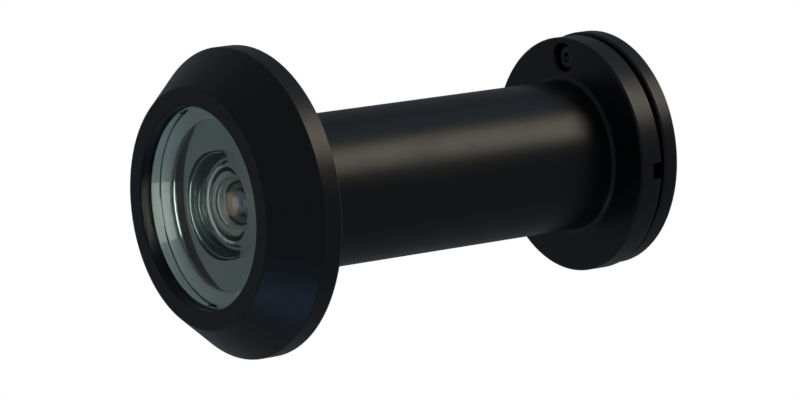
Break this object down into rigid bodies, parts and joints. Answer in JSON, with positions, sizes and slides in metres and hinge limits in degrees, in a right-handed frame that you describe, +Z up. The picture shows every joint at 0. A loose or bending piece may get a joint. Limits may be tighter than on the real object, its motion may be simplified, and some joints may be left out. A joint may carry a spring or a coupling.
{
  "type": "door viewer",
  "caption": "Round wide-angle door viewer: cone flange with objective lens, smooth barrel, flat indoor flange and a swinging disc cover.",
  "frame": {"origin": "on the viewer's axis, in the plane of the outdoor flange's seat on the door", "axes": "+Y runs along the viewer's axis from outdoors to indoors, +Z is up on the door, +X is to the right seen from outdoors"},
  "size_m": [0.028, 0.046, 0.028],
  "materials": {
    "black_metal": "satin black plating on turned brass",
    "inner_black": "matt black anodising on turned rings",
    "lens_glass": "polished optical glass",
    "seal_rubber": "matt black rubber",
    "rivet_steel": "plain bright steel"
  },
  "bodies": {
    "outdoor_half": {"outdoor_head": "black_metal", "objective_lens": "lens_glass", "objective_seal": "seal_rubber", "second_lens": "lens_glass", "lens_spacer": "inner_black", "third_lens": "lens_glass", "lens_lock_ring": "inner_black", "light_baffle": "inner_black"},
    "eyepiece_glass": {"eyepiece_lens": "lens_glass"},
    "indoor_half": {"barrel_sleeve": "black_metal", "eyepiece_ring": "inner_black", "pivot_rivet": "rivet_steel", "cover_washer": "rivet_steel"},
    "cover": {"privacy_cover": "black_metal"}
  },
  "joints": [
    {"name": "grip_slide", "type": "slide", "parent": "outdoor_half", "child": "eyepiece_glass", "axis": [0, 1, 0], "range_m": [0, 0.02]},
    {"name": "screw_turn", "type": "hinge", "parent": "eyepiece_glass", "child": "indoor_half", "pos_m": [0, 0, 0], "axis": [0, 1, 0], "range_deg": [0, 7200]},
    {"name": "cover_swing", "type": "hinge", "parent": "indoor_half", "child": "cover", "pos_m": [-0.00079, 0.0386, 0.00907], "axis": [0, 1, 0], "continuous": true}
  ],
  "couplings": [
    {"joint": "grip_slide", "follows": "screw_turn", "m_per_rad": 0.00015915}
  ]
}
